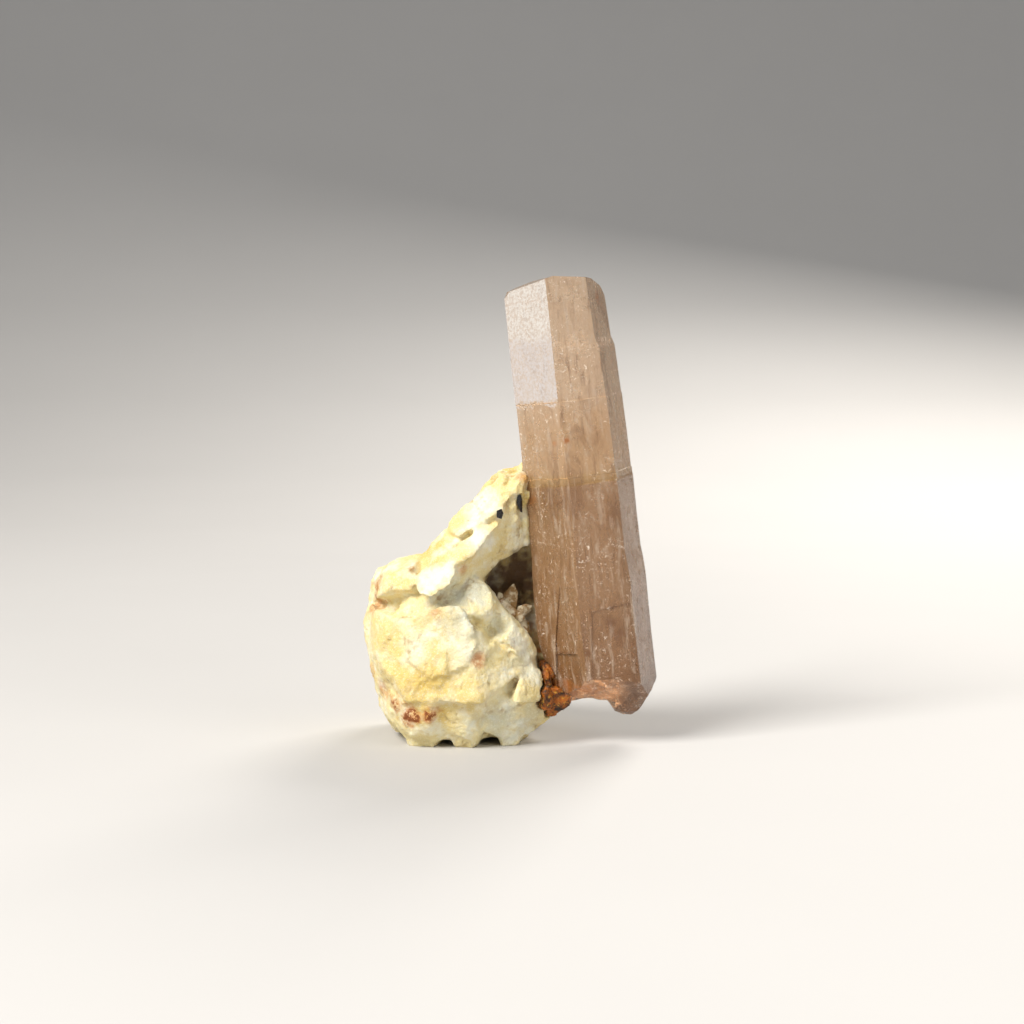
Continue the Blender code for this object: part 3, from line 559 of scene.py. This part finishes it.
# Colour spots on the feldspar: the pixel that shows each, its radius in millimetres and how strong it is.
RUST_SPOTS = (
    ((376, 592), 2.0, 0.75), ((374, 606), 1.8, 0.6), ((379, 580), 1.2, 0.5), ((384, 690), 1.5, 0.6),
    ((394, 705), 1.5, 0.9), ((409, 716), 1.7, 1.0), ((431, 716), 1.2, 1.0), ((478, 660), 1.1, 0.7),
    ((373, 672), 1.2, 0.4), ((436, 612), 0.9, 0.5), ((463, 568), 0.8, 0.45), ((412, 568), 0.6, 0.5),
    ((548, 690), 1.8, 0.9), ((550, 706), 1.6, 0.8), ((529, 512), 1.3, 0.6), ((522, 476), 1.0, 0.5),
    ((535, 628), 1.3, 0.5), ((540, 652), 1.2, 0.6), ((455, 545), 0.8, 0.4), ((500, 600), 1.2, 0.5),
)
WARM_SPOTS = (
    ((388, 640), 4.5, 0.5), ((420, 690), 5.0, 0.6), ((470, 700), 4.0, 0.5), ((440, 670), 4.0, 0.35),
    ((395, 578), 3.0, 0.35), ((515, 470), 2.2, 0.45), ((500, 486), 2.0, 0.4), ((520, 500), 2.0, 0.4),
    ((455, 520), 2.4, 0.3), ((470, 560), 2.4, 0.3), ((430, 556), 3.0, 0.4), ((384, 662), 3.0, 0.5),
)
# Blue-grey patches: partly the feldspar's own tone, partly painted shade in the saddle, the pit and under the
# ledge.
COOL_TONE_AND_SHADE_SPOTS = (
    ((450, 604), 3.4, 0.55), ((478, 592), 2.4, 0.6), ((462, 622), 2.6, 0.45), ((505, 626), 2.4, 0.4),
    ((524, 662), 2.6, 0.4), ((500, 720), 3.0, 0.45), ((530, 716), 2.8, 0.4), ((470, 722), 2.0, 0.3),
)
# Pale patches: partly the feldspar's own tone, partly painted highlight on ridges and faces turned to the key
# lamp.
PALE_TONE_AND_HIGHLIGHT_SPOTS = (
    ((480, 505), 2.6, 0.6), ((482, 540), 2.4, 0.6), ((432, 580), 2.2, 0.8), ((412, 648), 2.4, 0.4),
    ((470, 650), 2.8, 0.35), ((520, 640), 1.8, 0.6), ((530, 665), 1.6, 0.5), ((545, 675), 1.4, 0.5),
    ((515, 610), 1.6, 0.5), ((500, 690), 2.6, 0.4),
)
# The hollow beside the crystal: partly stained, partly painted shade.
HOLLOW_STAIN_AND_SHADE_SPOTS = (((516, 580), 5.6, 0.9),)
SPOT_LAYERS = {
    "rust": RUST_SPOTS,
    "warm": WARM_SPOTS,
    "cool_tone_and_shade": COOL_TONE_AND_SHADE_SPOTS,
    "pale_tone_and_highlight": PALE_TONE_AND_HIGHLIGHT_SPOTS,
    "hollow_stain_and_shade": HOLLOW_STAIN_AND_SHADE_SPOTS,
}

# How ragged the spots' edges are.
SPOT_WOBBLE = 0.45


def spot_strength(points_mm, spots, tree, wobble):
    """How strongly the spots colour each point, with ragged edges."""
    total = np.zeros(len(points_mm))
    for (column, row), radius, strength in spots:
        centre = surface_point(tree, column, row)
        if centre is None:
            continue
        away = np.linalg.norm(points_mm - np.array(centre) / MM, axis=1) / radius + wobble * SPOT_WOBBLE
        total = np.maximum(total, strength * np.clip(1.6 * (1.0 - away), 0.0, 1.0))
    return total


# The feldspar's steps: the direction in which they rise, how high each is and how much of it shows.
STEP_DIRECTION = np.array((0.35, -0.45, 0.82))
STEP_RISE = 0.62
STEP_SHARE = 0.22

# The feldspar keeps its flat foot: its grain fades out below this height, in millimetres.
FOOT_FADE = 0.4

# Hollows in the grain this deep, in millimetres, get the full painted shade.
CAVITY_SHADE_DEPTH = 0.16


def matrix_relief(points_mm):
    """How far each point of the feldspar stands out, in millimetres."""
    broad = facets(points_mm, 1.35, 3.0)
    fine = facets(points_mm, 0.55, 11.0)
    grain = field(points_mm, 0.34, 5.0)
    soft = field(points_mm, 2.4, 9.0, 3)
    height = 0.07 * broad + 0.06 * fine + 0.04 * grain + 0.08 * soft
    slope = points_mm @ STEP_DIRECTION + 0.25 * soft
    return height + STEP_SHARE * terraces(slope, STEP_RISE) * np.clip(soft + 0.2, 0.0, 1.0)


def build_matrix(crystal_tree):
    thing = copy_of("feldspar_matrix", "feldspar_surface")
    tree = BVHTree.FromObject(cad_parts["feldspar_matrix"], bpy.context.evaluated_depsgraph_get())
    remesh(thing, MATRIX_GRID)
    mesh = thing.data
    points = points_of(mesh)
    normals = normals_of(mesh)
    points_mm = points / MM
    height = matrix_relief(points_mm)
    off_ground = np.clip(points_mm[:, 2] / FOOT_FADE, 0.0, 1.0)
    push = height * MM * off_ground + close_gap(points, normals, crystal_tree)
    set_points(mesh, keep_in_box(points + normals * push[:, None]))
    wobble = field(points_mm, 0.9, 21.0, 4)
    for name, spots in SPOT_LAYERS.items():
        store(mesh, name, spot_strength(points_mm, spots, tree, wobble))
    # Painted shade: the deeper a point lies in the grain, the darker it is painted.
    store(mesh, "cavity_shade", np.clip(-(height - height.mean()) / CAVITY_SHADE_DEPTH, 0.0, 1.0))
    smooth_with_creases(thing, MATRIX_CREASE)
    settle(thing, "feldspar_matrix", feldspar_paint("feldspar"))


# An edge is halved this often at most.
MOST_CUTS = 9


def subdivide_to(thing, length):
    """Cut every edge that is longer than this, leaving the shape as it is."""
    shape = bmesh.new()
    shape.from_mesh(thing.data)
    for _ in range(MOST_CUTS):
        long_edges = [edge for edge in shape.edges if edge.calc_length() > length]
        if not long_edges:
            break
        bmesh.ops.subdivide_edges(shape, edges=long_edges, cuts=1)
        bmesh.ops.triangulate(shape, faces=[face for face in shape.faces if len(face.verts) > 3])
    shape.to_mesh(thing.data)
    shape.free()


# Iron stains on the crystal, given in the same way.
IRON_SPOTS = (
    ((555, 443), 0.5, 0.9), ((567, 441), 0.5, 0.9), ((597, 297), 1.0, 0.6), ((531, 500), 0.8, 0.5),
    ((555, 690), 1.6, 0.8), ((570, 692), 1.8, 0.7), ((590, 690), 1.8, 0.55), ((640, 582), 0.8, 0.4),
)
DARK_SPOTS = (((612, 622), 0.7, 0.6), ((622, 632), 0.6, 0.5), ((640, 600), 0.6, 0.5), ((588, 653), 0.5, 0.6))


def build_crystal():
    thing = copy_of("apatite_crystal", "apatite_crystal_body")
    tree = BVHTree.FromObject(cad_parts["apatite_crystal"], bpy.context.evaluated_depsgraph_get())
    subdivide_to(thing, CRYSTAL_EDGE)
    mesh = thing.data
    points_mm = points_of(mesh) / MM
    wobble = field(points_mm, 0.9, 31.0, 4)
    store(mesh, "iron", spot_strength(points_mm, IRON_SPOTS, tree, wobble))
    store(mesh, "dark_iron", spot_strength(points_mm, DARK_SPOTS, tree, wobble))
    smooth_with_creases(thing, CRYSTAL_CREASE)
    settle(thing, "apatite_crystal", apatite_paint())
    return tree


def build_seam(crystal_tree):
    thing = copy_of("limonite_seam", "limonite_crust")
    remesh(thing, SEAM_GRID)
    mesh = thing.data
    points = points_of(mesh)
    normals = normals_of(mesh)
    height = 0.10 * field(points / MM, 0.6, 14.0, 3) + 0.05 * facets(points / MM, 0.3, 17.0)
    push = height * MM + close_gap(points, normals, crystal_tree)
    set_points(mesh, keep_in_box(points + normals * push[:, None]))
    smooth_with_creases(thing, SEAM_CREASE)
    settle(thing, "limonite_seam", limonite_paint())


def build_small(node, name, material, size, seed):
    """A small crystal or grain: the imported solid, finer and slightly uneven."""
    thing = copy_of(node, name)
    subdivide_to(thing, size)
    mesh = thing.data
    points = points_of(mesh)
    height = 0.02 * field(points / MM, 0.25, seed, 2)
    set_points(mesh, keep_in_box(points + normals_of(mesh) * (height * MM)[:, None]))
    smooth_with_creases(thing, SMALL_CREASE)
    settle(thing, node, material)


def add_object(name, mesh, place=(0.0, 0.0, 0.0)):
    thing = bpy.data.objects.new(name, mesh)
    thing.location = place
    bpy.context.scene.collection.objects.link(thing)
    return thing


# The floor, in metres: how far it reaches forwards, back to its bend and to each side, the bend's radius and
# the height of the backdrop.
FLOOR_FRONT = -1.6
FLOOR_BACK = 0.25
FLOOR_HALF = 2.0
BEND_RADIUS = 0.6
BEND_STEPS = 12
BACKDROP_HEIGHT = 2.0
FLOOR_GREYS = ((0.56, 0.55, 0.54, 1.0), (0.58, 0.57, 0.56, 1.0))


def build_floor():
    """A pale floor that sweeps up into a backdrop."""
    shape = bmesh.new()
    profile = [(FLOOR_FRONT, 0.0), (FLOOR_BACK, 0.0)]
    for step in range(1, BEND_STEPS + 1):
        turn = math.pi / 2 * step / BEND_STEPS
        profile.append((FLOOR_BACK + BEND_RADIUS * math.sin(turn), BEND_RADIUS * (1.0 - math.cos(turn))))
    profile.append((FLOOR_BACK + BEND_RADIUS, BACKDROP_HEIGHT))
    rows = [[shape.verts.new((x, y, z)) for x in (-FLOOR_HALF, FLOOR_HALF)] for y, z in profile]
    for first, second in zip(rows, rows[1:]):
        shape.faces.new((first[0], first[1], second[1], second[0]))
    mesh = bpy.data.meshes.new("floor")
    shape.to_mesh(mesh)
    shape.free()
    mesh.shade_smooth()
    floor = add_object("floor", mesh)
    paint = Paint("floor")
    paint.set("Base Color", paint.mix(paint.noise(40.0, 2.0), *FLOOR_GREYS))
    paint.shader.inputs["Roughness"].default_value = 0.7
    mesh.materials.append(paint.material)


# The lamps: where each stands and its side, in metres, its power in watts and its colour.
LAMPS = (
    ("key", (-0.26, -0.26, 0.34), 0.22, 3.4, (1.0, 0.97, 0.92)),
    ("fill", (0.38, -0.32, 0.20), 0.30, 0.7, (1.0, 0.97, 0.94)),
    ("rim", (0.16, 0.34, 0.26), 0.20, 1.6, (1.0, 0.95, 0.88)),
)

# What the lamps aim at, in metres, and the light from all around.
LAMP_TARGET = (0.0, 0.0, 0.022)
SKY_COLOUR = (0.80, 0.82, 0.85, 1.0)
SKY_STRENGTH = 0.22


def area_light(name, place, side, power, colour):
    data = bpy.data.lights.new(name, "AREA")
    data.shape = "SQUARE"
    data.size = side
    data.energy = power
    data.color = colour
    light = bpy.data.objects.new(name, data)
    light.location = place
    aim = Vector(LAMP_TARGET) - Vector(place)
    light.rotation_euler = aim.to_track_quat("-Z", "Y").to_euler()
    bpy.context.scene.collection.objects.link(light)


def light_scene():
    for lamp in LAMPS:
        area_light(*lamp)
    world = bpy.data.worlds.new("world")
    bpy.context.scene.world = world
    world.use_nodes = True
    background = world.node_tree.nodes["Background"]
    background.inputs["Color"].default_value = SKY_COLOUR
    background.inputs["Strength"].default_value = SKY_STRENGTH
    bpy.context.scene.view_settings.view_transform = "Standard"


make_camera()
crystal_tree = build_crystal()
build_matrix(crystal_tree)
build_seam(crystal_tree)
build_small("vug_crystals", "vug_crystal_crust", vug_paint(), VUG_EDGE, 41.0)
schorl = schorl_paint()
build_small("schorl_grain_upper", "schorl_upper", schorl, SCHORL_EDGE, 43.0)
build_small("schorl_grain_lower", "schorl_lower", schorl, SCHORL_EDGE, 47.0)
build_floor()
light_scene()
